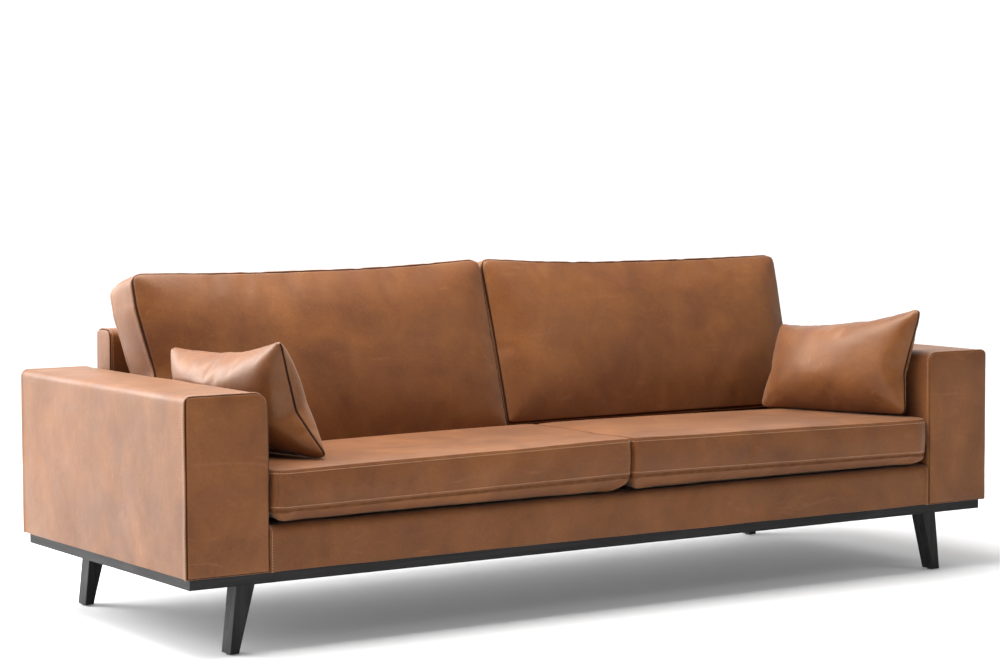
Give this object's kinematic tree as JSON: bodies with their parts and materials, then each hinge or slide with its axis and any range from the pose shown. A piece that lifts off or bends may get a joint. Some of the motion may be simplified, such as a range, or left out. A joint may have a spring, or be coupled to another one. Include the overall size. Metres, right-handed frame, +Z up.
{
  "type": "sofa",
  "caption": "Wide low sofa with box arms, loose seat and back cushions, leaning throw pillows, and a dark plinth on splayed tapered wooden legs.",
  "frame": {"origin": "on the floor under the middle of the sofa's bounding box", "axes": "+X along the width, to the right for a viewer in front of the sofa; +Y towards the back; +Z up"},
  "size_m": [2.3, 0.896, 0.7963],
  "materials": {
    "leather": "matte",
    "black_wood": "satin",
    "beech": "matte",
    "plywood": "matte",
    "foam": "matte",
    "black_cloth": "matte",
    "felt": "matte",
    "steel": "satin"
  },
  "bodies": {
    "root": {"arm_bolt_heads": "steel", "back_bottom_rail": "beech", "back_cover": "leather", "back_hardboard_panel": "plywood", "back_padding": "foam", "back_posts": "beech", "back_top_rail": "beech", "back_webbing": "black_cloth", "dust_cover": "black_cloth", "foot_glides": "felt", "front_left_leg": "black_wood", "front_rail_cover": "leather", "front_rail_padding": "foam", "front_right_leg": "black_wood", "left_arm_cover": "leather", "left_arm_inner_panel": "plywood", "left_arm_outer_panel": "plywood", "left_arm_padding": "foam", "left_arm_posts": "beech", "left_arm_top_board": "beech", "leg_anchor_blocks": "beech", "leg_bolt_nuts": "steel", "leg_bolts": "steel", "plinth_cross_rail_left": "black_wood", "plinth_cross_rail_right": "black_wood", "plinth_front_rail": "black_wood", "plinth_left_rail": "black_wood", "plinth_rear_rail": "black_wood", "plinth_right_rail": "black_wood", "rear_left_leg": "black_wood", "rear_right_leg": "black_wood", "right_arm_cover": "leather", "right_arm_inner_panel": "plywood", "right_arm_outer_panel": "plywood", "right_arm_padding": "foam", "right_arm_posts": "beech", "right_arm_top_board": "beech", "seat_centre_rail": "beech", "seat_deck_cloth": "black_cloth", "seat_deck_pad": "foam", "seat_front_beam": "beech", "seat_front_ledger": "beech", "seat_left_rail": "beech", "seat_rear_beam": "beech", "seat_right_rail": "beech", "seat_springs": "steel", "spring_clips": "steel", "spring_tie_wires": "steel"},
    "left_back_cushion": {"left_back_cushion_core": "foam", "left_back_cushion_cover": "leather"},
    "left_seat_cushion": {"left_seat_cushion_core": "foam", "left_seat_cushion_cover": "leather"},
    "left_throw_pillow": {"left_throw_pillow_core": "foam", "left_throw_pillow_cover": "leather"},
    "right_back_cushion": {"right_back_cushion_core": "foam", "right_back_cushion_cover": "leather"},
    "right_seat_cushion": {"right_seat_cushion_core": "foam", "right_seat_cushion_cover": "leather"},
    "right_throw_pillow": {"right_throw_pillow_core": "foam", "right_throw_pillow_cover": "leather"}
  },
  "joints": [
    {"name": "left_seat_cushion_slide", "type": "slide", "parent": "root", "child": "left_seat_cushion", "axis": [0, -1, 0], "range_m": [0, 0.3]},
    {"name": "left_back_cushion_lift", "type": "slide", "parent": "root", "child": "left_back_cushion", "axis": [0, 0.2932, 0.956], "range_m": [0, 0.35]},
    {"name": "left_throw_pillow_lift", "type": "slide", "parent": "left_seat_cushion", "child": "left_throw_pillow", "axis": [0, 0, 1], "range_m": [0, 0.3]},
    {"name": "right_seat_cushion_slide", "type": "slide", "parent": "root", "child": "right_seat_cushion", "axis": [0, -1, 0], "range_m": [0, 0.3]},
    {"name": "right_back_cushion_lift", "type": "slide", "parent": "root", "child": "right_back_cushion", "axis": [0, 0.2932, 0.956], "range_m": [0, 0.35]},
    {"name": "right_throw_pillow_lift", "type": "slide", "parent": "right_seat_cushion", "child": "right_throw_pillow", "axis": [0, 0, 1], "range_m": [0, 0.3]}
  ]
}
